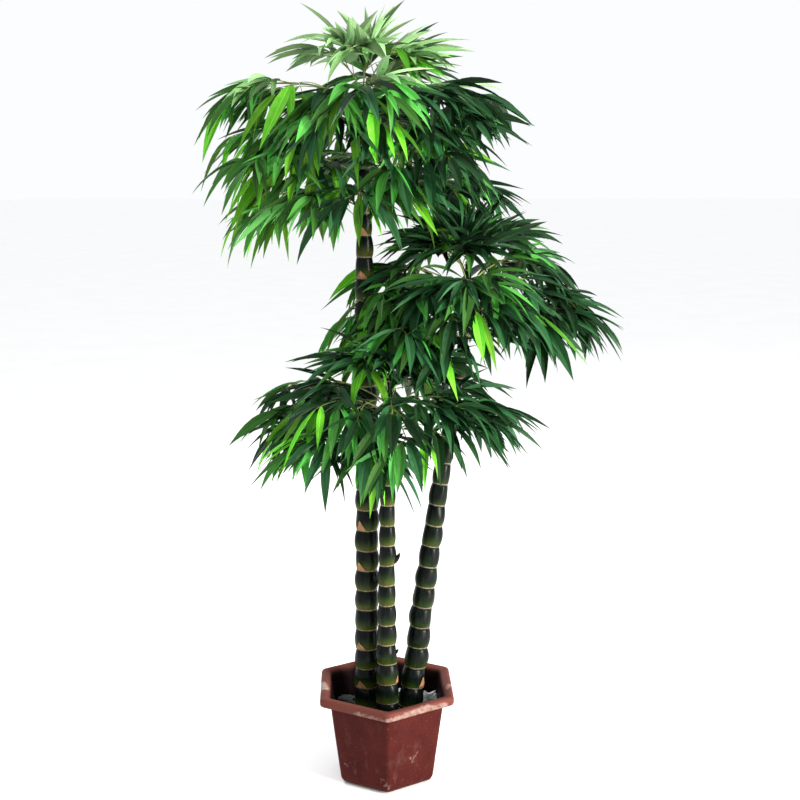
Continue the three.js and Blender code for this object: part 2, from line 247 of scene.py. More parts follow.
def limb_of(start, bearing, rise, fall, length, steps, **more):
    """A limb that leaves along a bearing, climbs at one slope and sags evenly to another."""
    points = [np.array(start, float)]
    for i in range(steps):
        slope = lerp(rise, fall, (i + 0.5) / steps)
        points.append(points[-1] + direction(bearing, slope) * length / steps)
    course = {"start": start, "bearing": bearing, "rise": rise, "fall": fall, "length": length}
    points = np.array(points)
    return {**course, "points": points, "route": points, **more}


def part_way(limb, share):
    """The point and the slope part of the way along a limb."""
    points = limb["points"]
    place = share * (len(points) - 1)
    i = min(int(place), len(points) - 2)
    return lerp(points[i], points[i + 1], place - i), lerp(limb["rise"], limb["fall"], share)


def route_distance(first, second):
    """The shortest distance between two routes of straight stretches."""
    p, r = first[:-1, None], second[None, :-1]
    u, v = first[1:, None] - p, second[None, 1:] - r
    w = p - r
    a, b, c = (u * u).sum(-1), (u * v).sum(-1), (v * v).sum(-1)
    d, e = (u * w).sum(-1), (v * w).sum(-1)
    skew = a * c - b * b
    parallel = skew <= 1e-9
    on_first = np.where(parallel, 0, np.clip((b * e - c * d) / np.where(parallel, 1, skew), 0, 1))
    on_second = np.clip((b * on_first + e) / c, 0, 1)
    on_first = np.clip((b * on_second - d) / a, 0, 1)
    return np.linalg.norm(w + u * on_first[..., None] - v * on_second[..., None], axis=-1).min()


def misses_culm(route, culm, room):
    """Whether a route keeps its room from a culm, which is followed over the heights of each stretch."""
    for a, b in zip(route[:-1], route[1:]):
        height = min((a[2] + b[2]) / 2, culm["top"])
        half = abs(b[2] - a[2]) + culm["joint_spacing"]
        ends = height - half, min(height + half, culm["top"])
        axis = np.array([culm_middle(culm, end) for end in ends])
        if route_distance(np.array([a, b]), axis) <= between(culm["girth"], height) + room:
            return False
    return True


def grow_rib(culm, level, k, random, earlier):
    """The middle rib of one branch, turned round its culm until it has its room."""
    tier = TIERS[level]
    change = drawn(RIB_DRAWS, random)
    start = culm_middle(culm, culm["top"] - culm["drops"][level] - k * STAGGER)
    length = tier["length"] * culm["size"] * change["length"]
    rise = tier["rise"] + change["rise"]
    fall = tier["fall"] + change["fall"]
    bearing = culm["first_bearing"] + change["bearing"]
    bearing += level * TIER_TURN + k * 360 / culm["branches"][level]
    to_skin = between(culm["girth"], start[2]) / math.cos(math.radians(rise))
    to_top = (culm["top"] - start[2]) / math.sin(math.radians(rise))
    for _ in range(0, 360, BEARING_STEP):
        rib = limb_of(start, bearing, rise, fall, length, RIB["steps"], culm=culm, level=level)
        route = rib["points"].copy()
        route[0] = start + direction(bearing, rise) * min(to_skin, to_top)
        clear = all(other is culm or misses_culm(route, other, SKIN_ROOM) for other in CULMS)
        if clear and all(route_distance(route, other["route"]) > RIB_ROOM for other in earlier):
            return {**rib, "route": route}
        bearing += BEARING_STEP
    return None


def arms_of(rib, random):
    """The side arms of one branch, each at the slope that the rib has where it leaves it."""
    arms = []
    for arm in ARMS:
        change = drawn(ARM_DRAWS, random)
        point, slope = part_way(rib, arm["at"])
        bearing = rib["bearing"] + arm["side"] * (ARM_SPREAD + change["bearing"])
        length = rib["length"] * arm["share"] * change["length"]
        rise = slope + change["rise"]
        arms.append(limb_of(point, bearing, rise, rise - ARM_SAG, length, ARM["steps"], rib=rib))
    return arms


def arm_fits(arm, ribs, arms):
    """Whether an arm keeps its room from the other culms and from other branches."""
    own = arm["rib"]
    limbs = [rib for rib in ribs if rib is not own] + [other for other in arms if other["rib"] is not own]
    return all(
        misses_culm(arm["route"], culm, SKIN_ROOM) for culm in CULMS if culm is not own["culm"]
    ) and all(route_distance(arm["route"], limb["route"]) > ARM_ROOM for limb in limbs)


def grow_branches():
    """All ribs stand before the first arm. Each rib keeps its own random numbers for what grows on it."""
    ribs, arms = [], []
    for culm in CULMS:
        random = seeded(culm["seed"])
        for level, count in enumerate(culm["branches"]):
            for k in range(count):
                rib = grow_rib(culm, level, k, random, ribs)
                if rib:
                    ribs.append(rib)
    for i, rib in enumerate(ribs):
        rib["random"] = seeded(rib["culm"]["seed"] * 100 + i)
        rib["arms"] = [arm for arm in arms_of(rib, rib["random"]) if arm_fits(arm, ribs, arms)]
        arms.extend(rib["arms"])
    return ribs


def twigs_of(limb, rib, shares, random):
    """Short twigs to alternate sides of a limb, longest near its root, some left out at random."""
    twigs = []
    side = 1 if random(0, 1) < 0.5 else -1
    fullness = rib["culm"]["fullness"][rib["level"]]
    reach = rib["culm"]["twig_reach"] * (TOP_TWIGS if rib["level"] < 2 else 1)
    for share in shares:
        change = drawn(TWIG_DRAWS, random)
        place = min(share + change["place"], LAST_TWIG)
        point, slope = part_way(limb, place)
        side = -side
        bearing = limb["bearing"] + side * (TWIG_SPREAD + change["bearing"])
        rise = slope + change["rise"]
        length = TWIG_LENGTH * reach * lerp(*TWIG_SHORTENING, place) * change["length"]
        if random(0, 1) < fullness:
            twigs.append(limb_of(point, bearing, rise, rise - TWIG_SAG, length, TWIG["steps"]))
    return twigs


def dye_for(limb, culm, random):
    """The dye of one spray, picked by where it ends. Pale sprays at the very top and lighter ones towards
    a crown's left edge are painted light.
    """
    end = limb["points"][-1]
    # Pale sprays at the very top are painted light.
    if random(0, 1) < between(PAINTED_TOP_LIGHT, end[2]):
        return "pale"
    # Sprays left of a crown's middle, and on a crown that leans to the lighter dyes, get them more often:
    # painted light.
    leftward = (culm_middle(culm, culm["top"])[0] - end[0]) / CROWN_HALF
    leftward = min(max(leftward, -1), 1) + culm["lightness"]
    pick = random(0, 1)
    for name, share, more in DYES:
        pick -= max(share + more * leftward, 0)
        if pick < 0:
            return name
    return "deep"


def fan_of(limb, rib, shares, random):
    """The leaves at the end of a limb or twig: one straight on and the others to alternate sides."""
    dye = dye_for(limb, rib["culm"], random)
    if dye == "fresh":
        shares = shares[:FRESH_LEAVES]
    fan = []
    for i, share in enumerate(shares):
        point, slope = part_way(limb, share)
        turn = 0 if i == 0 else (1 if i % 2 else -1) * random(*FAN_TURN)
        leaf = drawn(LEAF_DRAWS, random)
        lowered = slope + leaf["slope"] - DYE_SLUMP[dye] * leaf["slump"]
        lowered = max(lowered, lerp(-HANGING, lowered, HANGING_GIVE))
        leaf["slope"] = min(lowered, STEEPEST[rib["level"]])
        leaf["droop"] *= math.cos(math.radians(lowered))
        leaf["size"] *= DYE_SIZE[dye] * (TIP_LEAF if i == 0 else 1) * (TOP_LEAF if rib["level"] == 0 else 1)
        leaf["bearing"] += limb["bearing"] + turn
        fan.append({**leaf, "root": point, "dye": dye})
    return fan


def leaf_fits(leaf):
    """Whether a leaf's chord stays out of every culm and about inside the box round the solids."""
    slope = max(leaf["slope"] - 0.5 * leaf["droop"], PLUMB)
    tip = leaf["root"] + direction(leaf["bearing"], slope) * LEAF["length"] * leaf["size"]
    low, high = np.array(CAD_BOX) / MM
    inside = (tip > low - BOX_ROOM).all() and (tip < high + BOX_ROOM).all()
    return inside and all(misses_culm((leaf["root"], tip), culm, LEAF_ROOM) for culm in CULMS)


def new_piece(name, points, faces, materials, slots=None, smooth=True):
    """A mesh object from points in millimetres. `slots` says which of the materials each face has."""
    mesh = bpy.data.meshes.new(name)
    mesh.from_pydata((np.asarray(points) * MM).tolist(), [], faces)
    for material in materials:
        mesh.materials.append(material)
    if slots:
        mesh.polygons.foreach_set("material_index", np.asarray(slots, np.int32))
    mesh.polygons.foreach_set("use_smooth", np.full(len(mesh.polygons), smooth))
    mesh.update()
    piece = bpy.data.objects.new(name, mesh)
    bpy.context.scene.collection.objects.link(piece)
    return piece


def give(piece, name, values, kind="FLOAT", domain="POINT"):
    """Stores a value on every point or face corner of a piece, for its material to read."""
    attribute = piece.data.attributes.new(name, kind, domain)
    field = "vector" if kind == "FLOAT_VECTOR" else "value"
    attribute.data.foreach_set(field, np.asarray(values, np.float32).ravel())


def tube_faces(rings, sides, offset=0):
    """Faces of a closed tube whose rings run counterclockwise as seen from its far end."""
    faces = []
    for ring in range(rings - 1):
        for i in range(sides):
            a, b = offset + ring * sides + i, offset + ring * sides + (i + 1) % sides
            faces.append((a, b, b + sides, a + sides))
    last = offset + (rings - 1) * sides
    faces.append(tuple(offset + i for i in reversed(range(sides))))
    faces.append(tuple(last + i for i in range(sides)))
    return faces


def unit(vectors):
    return vectors / np.linalg.norm(vectors, axis=-1, keepdims=True)


def circles(aside, over, sides):
    """For each pair of directions square to a route, the directions round it."""
    angles = (np.arange(sides) * 2 * math.pi / sides)[:, None]
    return aside[:, None] * np.cos(angles) + over[:, None] * np.sin(angles)


def tube_points(points, radii, sides):
    """Rings round a route, square to it."""
    along = unit(np.gradient(points, axis=0))
    aside = np.cross(along, [0, 0, 1.0])
    aside[(aside * aside).sum(1) < 1e-4] = [1, 0, 0]
    aside = unit(aside)
    rings = circles(aside, np.cross(along, aside), sides)
    return (points[:, None] + rings * np.asarray(radii)[:, None, None]).reshape(-1, 3)


def leaf_width(share):
    """The half width of a leaf at a share of its length: a short stalk, a full belly and a long point."""
    swelling = (share / LEAF_BELLY) ** STALK_CURVE * ((1 - share) / (1 - LEAF_BELLY)) ** POINT_CURVE
    return LEAF["width"] / 2 * swelling


def leaf_faces():
    """The faces of one leaf, and for each corner how far along and across it is and on which side."""
    last = len(LEAF_STATIONS) - 1

    def at(station, side):
        if station == 0:
            return 0, 0, 0
        if station == last:
            return 4 * last - 3, 1, 0
        return 4 * station - 3 + side, LEAF_STATIONS[station], (1, 0, -1, 0)[side]

    faces, places = [], []
    for side in range(4):
        after = (side + 1) % 4
        for station in range(last):
            square = [at(station, side), at(station, after), at(station + 1, after), at(station + 1, side)]
            corners = list(dict.fromkeys(square))
            faces.append([number for number, _, _ in corners])
            places.extend((along, across, side >= 2) for _, along, across in corners)
    return faces, places


def leaf_mesh(leaves):
    """Thin closed shells, folded along the midrib, that droop and twist to their tips. With them go the
    places of their face corners and the number of points in a leaf."""

    def column(key):
        return np.array([leaf[key] for leaf in leaves], float)[:, None]

    stations = np.array(LEAF_STATIONS)
    middles = (stations[1:] + stations[:-1]) / 2
    slope = np.maximum(column("slope") - column("droop") * middles**DROOP_CURVE, PLUMB)
    step = direction(column("bearing") + column("curl") * middles, slope)
    step *= (LEAF["length"] * column("size") * np.diff(stations))[..., None]
    middle = np.concatenate([np.zeros((len(leaves), 1, 3)), np.cumsum(step, axis=1)], axis=1)
    middle += np.array([leaf["root"] for leaf in leaves])[:, None]
    along = unit(np.gradient(middle, axis=1))
    heading = column("bearing") + column("curl") * stations
    flat = direction(heading + 90, 0)
    roll = np.radians(column("roll") + column("twist") * stations)[..., None]
    across = flat * np.cos(roll) + np.cross(along, flat) * np.sin(roll)
    over = np.cross(along, across)
    half = (leaf_width(stations) * column("size") * column("girth"))[..., None]
    fold = math.radians(LEAF["fold"])
    lift = over * half * math.sin(fold)
    reach = across * half * math.cos(fold)
    thick = over * LEAF["thickness"] / 2
    rings = np.stack([middle + reach + lift, middle + thick, middle - reach + lift, middle - thick], axis=2)
    inner = rings[:, 1:-1].reshape(len(leaves), -1, 3)
    points = np.concatenate([middle[:, :1], inner, middle[:, -1:]], axis=1)
    each = points.shape[1]
    faces, places = leaf_faces()
    faces = [[number + i * each for number in face] for i in range(len(leaves)) for face in faces]
    return points.reshape(-1, 3), faces, np.tile(np.array(places, np.float32), (len(leaves), 1)), each


def sharpen_leaves(piece, each):
    """Marks the edges along every leaf as sharp: its rims and its midrib."""
    mesh = piece.data
    ends = np.empty(len(mesh.edges) * 2, np.int32)
    mesh.edges.foreach_get("vertices", ends)
    stations = (ends.reshape(-1, 2) % each + 3) // 4
    attribute = mesh.attributes.new("sharp_edge", "BOOLEAN", "EDGE")
    attribute.data.foreach_set("value", stations[:, 0] != stations[:, 1])


# Materials. Sizes and depths are in millimetres.


def node(tree, kind, inputs=(), output=0, **settings):
    """Adds a node and returns one of its outputs. Its inputs go by number or by name, and each is linked
    to a socket or set to a value or an sRGB code."""
    made = tree.nodes.new(f"ShaderNode{kind}")
    for name, value in settings.items():
        setattr(made, name, value)
    for key, value in inputs.items() if isinstance(inputs, dict) else enumerate(inputs):
        if isinstance(value, bpy.types.NodeSocket):
            tree.links.new(value, made.inputs[key])
        else:
            made.inputs[key].default_value = linear(value) if isinstance(value, str) else value
    return made.outputs[output]


def new_material(name):
    material = bpy.data.materials.new(name)
    material.use_nodes = True
    material.node_tree.nodes.clear()
    return material, material.node_tree


def finish(material, looks):
    """Gives a material its shader. Uniform values are set on the shader's own sockets."""
    tree = material.node_tree
    shader = node(tree, "BsdfPrincipled", looks)
    tree.links.new(shader, tree.nodes.new("ShaderNodeOutputMaterial").inputs["Surface"])
    return material


def grain(tree, size, detail=3, stretch=1):
    """Cloudy noise in patches of about `size`. A small `stretch` draws them out upward."""
    place = node(tree, "TexCoord", output="Object")
    squashed = node(tree, "Mapping", {"Vector": place, "Scale": (1, 1, stretch)})
    pattern = {"Vector": squashed, "Scale": 1 / (size * MM), "Detail": detail, "Roughness": 0.55}
    return node(tree, "TexNoise", pattern, "Fac")


def clouds(tree, size, low, high, to_low=0, to_high=1, **how):
    """That noise, stretched from one range to another and kept inside it."""
    return node(tree, "MapRange", [grain(tree, size, **how), low, high, to_low, to_high])


def coats(tree, ground, *layers):
    """Coats of colour over a ground, each given as how much of it there is and its colour. The colours of a
    Mix node are its inputs 6 and 7 and its output 2."""
    for share, colour in layers:
        ground = node(tree, "Mix", {0: share, 6: ground, 7: colour}, 2, data_type="RGBA")
    return ground


TWIG_GREEN = "#7f8c42"
# The blade, the veins and the back of each dye. The pale dye is painted light on the top of a crown.
CLOTH_COLOURS = {
    "deep": ("#17401f", "#3f6738", "#304f36"),
    "mid": ("#3b802f", "#6fa84c", "#538648"),
    "fresh": ("#56a81e", "#a0d64e", "#74ae3e"),
    "pale": ("#7fae6b", "#b8d6a8", "#9cbf8d"),
}
# The real veins are 1.5 mm apart, too fine for the render, so they are drawn coarser.
VEIN_PITCH = 3.4


def printed_polyester(dye, blade, vein, back):
    """Leaf cloth: woven polyester, dyed and heat-pressed. A dull sheen, a pale pressed midrib with fine
    veins beside it, and a greyer back."""
    material, tree = new_material(f"printed_polyester_{dye}")
    place = node(tree, "Attribute", output="Vector", attribute_name="leaf_place")
    tint = node(tree, "Attribute", output="Fac", attribute_name="leaf_tint")
    along, across, under = node(tree, "SeparateXYZ", [place]).node.outputs
    from_midrib = node(tree, "Math", [across], operation="ABSOLUTE")
    midrib = node(tree, "MapRange", [from_midrib, 0.04, 0.16, 1, 0])
    turns = node(tree, "Math", [across, math.pi * LEAF["width"] / VEIN_PITCH], operation="MULTIPLY")
    veins = node(tree, "MapRange", [node(tree, "Math", [turns], operation="SINE"), 0.2, 1])
    cloth = coats(
        tree, blade,
        (node(tree, "MapRange", [veins, 0, 1, 0, 0.16]), vein),
        (clouds(tree, 45, 0.42, 0.7, 0, 0.35), back),
        (node(tree, "Math", [midrib, 0.5], operation="MULTIPLY"), vein),
        (node(tree, "Math", [under, 0.55], operation="MULTIPLY"), back),
    )
    dyed = node(tree, "HueSaturation", {
        "Hue": node(tree, "MapRange", [tint, 0, 1, 0.488, 0.512]),
        "Value": node(tree, "MapRange", [tint, 0, 1, 0.25, 1.7]),
        "Color": cloth,
    })
    pressed = node(tree, "Math", [veins, midrib], operation="ADD")
    return finish(material, {
        "Base Color": coats(tree, dyed, (node(tree, "MapRange", [along, 0, 0.09, 0.6, 0]), TWIG_GREEN)),
        "Roughness": 0.5,
        "Specular IOR Level": 0.12,
        "Normal": node(tree, "Bump", {"Height": pressed, "Distance": 0.25 * MM, "Strength": 0.5}),
    })


def sleeved_wire():
    """Twigs: steel wire in a polyethylene sleeve. Waxy, even yellow-green, a little darker in patches."""
    material, tree = new_material("sleeved_wire")
    ribs = grain(tree, 2.5, stretch=0.2)
    return finish(material, {
        "Base Color": coats(tree, TWIG_GREEN, (clouds(tree, 30, 0.35, 0.7), "#4c6130")),
        "Roughness": 0.42,
        "Normal": node(tree, "Bump", {"Height": ribs, "Distance": 0.2 * MM, "Strength": 0.4}),
    })


# The culm's paint, from just above a joint to the next one.
SPRAYED = [
    (0, "#474416"), (0.16, "#394013"), (0.32, "#202e0e"),
    (0.48, "#0b160a"), (0.64, "#030809"), (1, "#020407"),
]


def lacquered_culm():
    """Culm skin: moulded hard foam, sprayed and lacquered. Blue-black under each joint, fading to olive
    above the next one down, with fine upright streaks and a wet gloss."""
    material, tree = new_material("lacquered_culm")
    rise = node(tree, "Attribute", output="Fac", attribute_name="rise")
    uneven_rise = node(tree, "Math", [rise, clouds(tree, 60, 0.3, 0.7, -0.13, 0.13)], operation="ADD")
    sprayed = node(tree, "ValToRGB", [uneven_rise])
    stops = sprayed.node.color_ramp.elements
    while len(stops) < len(SPRAYED):
        stops.new(0.5)
    for stop, (place, colour) in zip(stops, SPRAYED):
        stop.position = place
        stop.color = linear(colour)
    streaks = clouds(tree, 5, 0.46, 0.74, 0, 0.05, stretch=0.06)
    soot = clouds(tree, 9, 0.5, 0.72, 0, 0.35, stretch=0.12)
    brushed = grain(tree, 4, stretch=0.08)
    return finish(material, {
        "Base Color": coats(tree, sprayed, (streaks, "#4f6a35"), (soot, "#131b12")),
        "Roughness": clouds(tree, 18, 0.3, 0.7, 0.26, 0.44),
        "Specular IOR Level": 0.05,
        "Coat Weight": 0.1,
        "Coat Roughness": 0.19,
        "Normal": node(tree, "Bump", {"Height": brushed, "Distance": 0.5 * MM, "Strength": 0.5}),
    })


def scraped_node():
    """Joint scars: raw edges of the moulding, scraped and painted tan. Dry and matt, with darker flecks."""
    material, tree = new_material("scraped_node")
    scrapes = grain(tree, 1.6)
    return finish(material, {
        "Base Color": coats(tree, "#7d725c", (clouds(tree, 6, 0.4, 0.66), "#4b4431")),
        "Roughness": 0.72,
        "Normal": node(tree, "Bump", {"Height": scrapes, "Distance": 0.4 * MM, "Strength": 0.6}),
    })


def sheath_paper():
    """Culm sheath: glued-on dried bamboo husk. Pinkish tan paper with upright fibres, dry and matt."""
    material, tree = new_material("sheath_paper")
    fibres = grain(tree, 2, stretch=0.1)
    return finish(material, {
        "Base Color": coats(tree, "#a27650", (clouds(tree, 3.5, 0.35, 0.68, stretch=0.12), "#715034")),
        "Roughness": 0.8,
        "Normal": node(tree, "Bump", {"Height": fibres, "Distance": 0.5 * MM, "Strength": 0.7}),
    })


def reground_polypropylene():
    """Pot: injection-moulded reground polypropylene, used outdoors. Dull red-brown and mottled with dust,
    with paler scuffs where the rim and the corners have rubbed. Painted highlights lighten the top of the
    rim and its two ends, and painted shade darkens its inside."""
    material, tree = new_material("reground_polypropylene")
    marks = "bleach", "dust", "wear", "stain"
    bleach, dust, wear, stain = [
        node(tree, "Attribute", output="Fac", attribute_name=mark) for mark in marks
    ]
    smears = clouds(tree, 22, 0.56, 0.82, 0, 0.2, stretch=0.45)
    ragged = node(tree, "Math", [wear, clouds(tree, 9, 0.3, 0.7, -0.3, 0.3, detail=8)], operation="ADD")
    mottled = coats(
        tree, "#461a17",
        (clouds(tree, 55, 0.32, 0.7, detail=5), "#391412"),
        # Painted highlight: the top of the rim made paler.
        (bleach, "#8a5348"),
        (clouds(tree, 3.2, 0.66, 0.76, 0, 0.28, detail=1), "#8a4f42"),
        (node(tree, "Math", [smears, dust], operation="MULTIPLY"), "#8d766c"),
        # Paler scuffs, with painted highlights at the two ends of the rim.
        (node(tree, "MapRange", [ragged, 0.25, 1.25, 0, 0.95]), "#a8968d"),
        # Painted shade: the inside of the pot, nearly black below the rim.
        (stain, "#0d0709"),
    )
    moulding = grain(tree, 7, detail=4)
    return finish(material, {
        "Base Color": mottled,
        "Roughness": clouds(tree, 40, 0.3, 0.7, 0.38, 0.6),
        "Specular IOR Level": 0.04,
        "Normal": node(tree, "Bump", {"Height": moulding, "Distance": 0.35 * MM, "Strength": 0.5}),
    })


def poured_plaster():
    """Filling: grey cement plaster, poured round the culms and left rough, grimed nearly black."""
    material, tree = new_material("poured_plaster")
    crust = grain(tree, 6, detail=5)
    return finish(material, {
        "Base Color": coats(tree, "#3a3a38", (clouds(tree, 35, 0.36, 0.62, detail=6), "#171716")),
        "Roughness": 0.9,
        "Normal": node(tree, "Bump", {"Height": crust, "Distance": 2 * MM, "Strength": 0.8}),
    })


def broken_foam():
    """Scraps of white expanded polystyrene on the filling: matt, beaded, some of them darker, more so to the
    left.
    """
    material, tree = new_material("broken_foam")
    dirt = clouds(tree, 14, 0.4, 0.75, detail=4)
    grime = node(tree, "Attribute", output="Fac", attribute_name="grime")
    place = node(tree, "TexCoord", output="Object")
    beads = node(tree, "TexVoronoi", {"Vector": place, "Scale": 1 / (4 * MM)}, "Distance")
    return finish(material, {
        "Base Color": coats(tree, "#e9efec", (dirt, "#a3aaa6"), (grime, "#2c3836")),
        "Roughness": 0.85,
        "Normal": node(tree, "Bump", {"Height": beads, "Distance": 0.8 * MM, "Strength": 0.6}),
    })


def river_gravel():
    """Gravel on the filling: small dull stones, dark brown and grey."""
    material, tree = new_material("river_gravel")
    return finish(material, {
        "Base Color": coats(tree, "#25241f", (clouds(tree, 22, 0.35, 0.65, detail=1), "#55524a")),
        "Roughness": 0.7,
        "Normal": node(tree, "Bump", {"Height": grain(tree, 2.4), "Distance": 0.4 * MM, "Strength": 0.6}),
    })


def studio_paper():
    """Floor: a pale paper roll, matt, faintly uneven."""
    material, tree = new_material("studio_paper")
    return finish(material, {
        "Base Color": coats(tree, "#fdfdfc", (clouds(tree, 400, 0.3, 0.7), "#fafaf9")),
        "Roughness": 0.9,
    })


CULM_SIDES = 48
BAND_HALF = 1.25
BAND_PROUD = 0.01
JOINT_LIP = 2.5
# Where the rings of one internode lie, as shares of the way to its upper joint.
INTERNODE_RINGS = [0.07, 0.15, 0.25, 0.36, 0.47, 0.57, 0.66, 0.74, 0.81, 0.88]
# The girth and the rise of the lowest ring. The rings that close the top: how far below it each is, and its
# girth. All others keep a room from it.
FOOT_GIRTH = 0.97
FOOT_RISE = 0.2
TOP_RINGS = [(1.5, 0.8), (0, 0.5)]
TOP_ROOM = 2
# How uneven a culm is: its swellings as a share of the girth, how far an internode stands off the middle
# line and how far a ring tips. The spans say over what height that changes.
SWELLING = 0.055
SWELLING_SPAN = 38
OFFSET = 4.4
RING_TIP = 1.6
TIP_SPAN = 90


def internode_swell(share, height):
    """The girth part of the way up an internode, a barrel fullest below its middle. The height picks how
    much it draws in."""
    if share < BELLY_AT:
        low = between(JOINTS, height)
        return low + (1 - low) * math.sin(math.pi / 2 * share / BELLY_AT) ** BELOW_BELLY
    waist = between(WAISTS, height)
    return waist + (1 - waist) * math.cos(math.pi / 2 * (share - BELLY_AT) / (1 - BELLY_AT)) ** ABOVE_BELLY


def culm_sections(culm):
    """The height, girth, rise up the internode, start of a band and internode of every ring of a culm."""
    sections = []
    low, high, spacing = FILL_TOP + SEAT_GAP, culm["top"], culm["joint_spacing"]
    for number, joint in enumerate(np.arange(culm["first_joint"] - spacing, high, spacing)):
        ring = between(JOINTS, joint) + BAND_PROUD
        rows = [(-BAND_HALF, ring, 0, True), (BAND_HALF, ring, 0, False)]
        rows += [(share * spacing, internode_swell(share, joint), share, False) for share in INTERNODE_RINGS]
        rows.append((spacing - JOINT_LIP, between(WAISTS, joint), 1, False))
        sections += [(joint + up, *more, number) for up, *more in rows if low < joint + up < high - TOP_ROOM]
    closing = [(high - below, girth, 1, False, 0) for below, girth in TOP_RINGS]
    return [(low, FOOT_GIRTH, FOOT_RISE, False, 0), *sections, *closing]


def culm_radius(culm, height):
    spacing = culm["joint_spacing"]
    share = ((height - culm["first_joint"]) / spacing) % 1
    return internode_swell(share, height - share * spacing) * between(culm["girth"], height)


def uneven(outward, breadth, height):
    """Noise for the directions of one ring at a height."""
    return np.array([noise.noise(Vector((x * breadth, y * breadth, height))) for x, y, _ in outward])


def dress_culm(culm, skin, scar):
    sections = culm_sections(culm)
    centres = np.array([culm_middle(culm, section[0]) for section in sections])
    along = unit(np.gradient(centres, axis=0))
    aside = np.cross([0, 1.0, 0], along)
    outward = circles(aside, np.cross(along, aside), CULM_SIDES)
    points = np.empty_like(outward)
    for i, (height, girth, rise, _, number) in enumerate(sections):
        swell = 1 + SWELLING * uneven(outward[i], 1.1, height / SWELLING_SPAN)
        points[i] = centres[i] + outward[i] * (girth * between(culm["girth"], height) * swell)[:, None]
        shift = [noise.noise(Vector((culm["seed"], axis * 9.0, number * 0.83))) for axis in (0, 1)]
        points[i, :, :2] += np.array(shift) * OFFSET * math.sin(math.pi * rise)
        if 0 < i < len(sections) - 2:
            tip = RING_TIP * uneven(outward[i], 0.5, height / TIP_SPAN + culm["seed"])
            points[i] += along[i] * tip[:, None]
    faces = tube_faces(len(sections), CULM_SIDES)
    slots = [*np.repeat([band for _, _, _, band, _ in sections[:-1]], CULM_SIDES), False, False]
    piece = new_piece(f"lacquered_culm_{culm['name']}", points.reshape(-1, 3), faces, [skin, scar], slots)
    rises = [lerp(culm["bareness"], 1, section[2]) for section in sections]
    give(piece, "rise", np.repeat(rises, CULM_SIDES))
    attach(piece, "root")
    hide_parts(f"culm_{culm['name']}")


# Dried sheaths: the culm, the joint that each stands on, the way it faces in degrees (270 is the front), its
# width and its height.
SHEATHS = [
    ("tall", 0, 246, 29, 21), ("tall", 2, 240, 27, 19), ("tall", 6, 236, 27, 22),
    ("tall", 8, 240, 24, 25), ("tall", 11, 244, 24, 40), ("tall", 22, 256, 24, 19),
    ("tall", 20, 252, 27, 18), ("leaning", 0, 318, 20, 26), ("short", 1, 330, 13, 20),
    ("tall", 15, 70, 26, 24), ("leaning", 7, 110, 24, 24), ("short", 4, 60, 20, 22),
    ("tall", 3, 110, 26, 24), ("leaning", 3, 80, 22, 22),
]
SHEATH_ACROSS = 8
SHEATH_UP = 6
SHEATH_THICK = 0.5
SHEATH_LEAN = 6
SHEATH_LIFT = 2.2
# A sheath's room from the skin, as a share of the radius and in millimetres, the power that shapes its
# sides, and its least half width.
SHEATH_ROOM = 1.012, 0.5
SHEATH_CURVE = 0.85
SHEATH_POINT = 0.3


def dress_sheaths(paper):
    """Three-cornered flaps that hug the skin and lift a little at the point. Each ring goes along the
    outside of a flap and back along its inside."""
    points, faces = [], []
    for name, joint, facing, width, height in SHEATHS:
        culm = CULM_NAMED[name]
        base = culm["first_joint"] + joint * culm["joint_spacing"] + BAND_HALF * 0.5
        faces.extend(tube_faces(SHEATH_UP + 1, 2 * (SHEATH_ACROSS + 1), len(points)))
        for share in np.linspace(0, 1, SHEATH_UP + 1):
            z = base + share * height
            inner = culm_radius(culm, z) * SHEATH_ROOM[0] + SHEATH_ROOM[1] + SHEATH_LIFT * share**3
            half = width / 2 * (1 - share) ** SHEATH_CURVE + SHEATH_POINT
            for radius, way in ((inner + SHEATH_THICK, 1), (inner, -1)):
                turns = way * np.linspace(-1, 1, SHEATH_ACROSS + 1) * math.degrees(half / radius)
                row = radius * direction(facing - SHEATH_LEAN * share + turns, 0)
                points.extend(culm_middle(culm, z) + row)
    piece = new_piece("husk_sheaths", points, faces, [paper])
    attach(piece, "root")


# Side buds: the culm, the height, the way they face, their length and their half width.
BUDS = [
    ("short", 536, 350, 21, 8.5), ("short", 314, 345, 8, 5),
    ("leaning", 660, 80, 14, 7), ("tall", 462, 312, 20, 6),
]
BUD_STEPS = 8
BUD_SIDES = 10
BUD_SUNK = 4
BUD_SLOPES = 32, 74
BUD_CURVE = 0.75
BUD_TIP = 0.4
BUD_RISE = 0.7


def dress_buds(skin):
    points, faces = [], []
    for name, height, facing, length, half in BUDS:
        culm = CULM_NAMED[name]
        start = culm_middle(culm, height) + direction(facing, 0) * (culm_radius(culm, height) - BUD_SUNK)
        bud = limb_of(start, facing, *BUD_SLOPES, length + BUD_SUNK, BUD_STEPS)
        radii = [half * (1 - i / BUD_STEPS) ** BUD_CURVE + BUD_TIP for i in range(BUD_STEPS + 1)]
        faces.extend(tube_faces(BUD_STEPS + 1, BUD_SIDES, len(points)))
        points.extend(tube_points(bud["points"], radii, BUD_SIDES))
    piece = new_piece("side_buds", points, faces, [skin])
    give(piece, "rise", np.full(len(points), BUD_RISE))
    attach(piece, "root")


CORNER_STEPS = 7
FACE_STEPS = 26
ROUNDS = 2
# The rolled rim, from its underside over the top: how far it is out from the rim's flat and up from the top.
LIP = [(-5, -22.5), (-0.5, -19), (-0.2, -12), (0, -7), (-3, -1.5), (-8, 0), (-15, -1)]
WALL_HEIGHTS = range(26, 190, 12)
BORE_HEIGHTS = [170, 140, 60, POT["floor"]]
